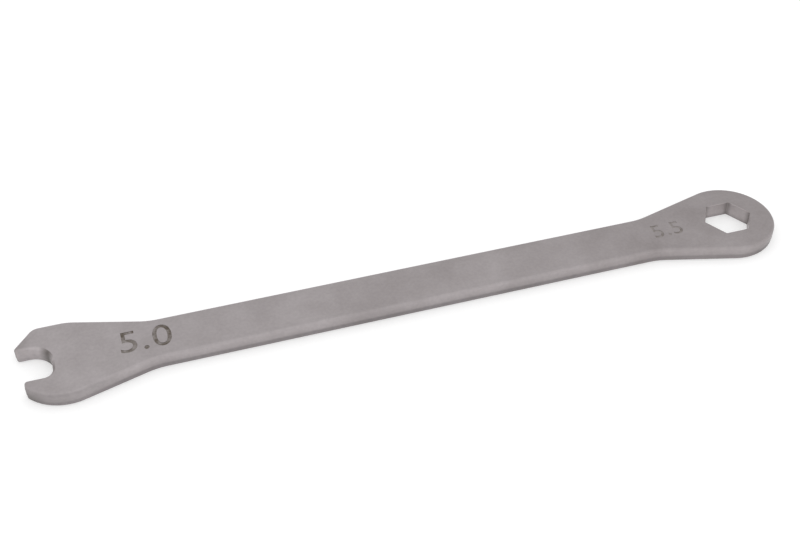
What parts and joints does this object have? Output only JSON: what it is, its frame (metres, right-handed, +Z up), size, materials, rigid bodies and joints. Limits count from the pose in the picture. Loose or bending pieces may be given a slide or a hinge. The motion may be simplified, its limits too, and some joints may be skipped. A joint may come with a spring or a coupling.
{
  "type": "turnbuckle wrench",
  "caption": "Flat steel turnbuckle wrench: an open jaw and a hexagonal ring joined by a straight shank, in a plate with its edge rolled all round.",
  "frame": {"origin": "middle of the length and width, on the underside that the wrench lies on", "axes": "+X along the shank towards the ring, +Z up out of the flat face, +Y across the shank"},
  "size_m": [0.096, 0.0118, 0.002],
  "materials": {
    "steel": "satin, tumbled grey steel"
  },
  "bodies": {
    "root": {"wrench_body": "steel"}
  },
  "joints": []
}
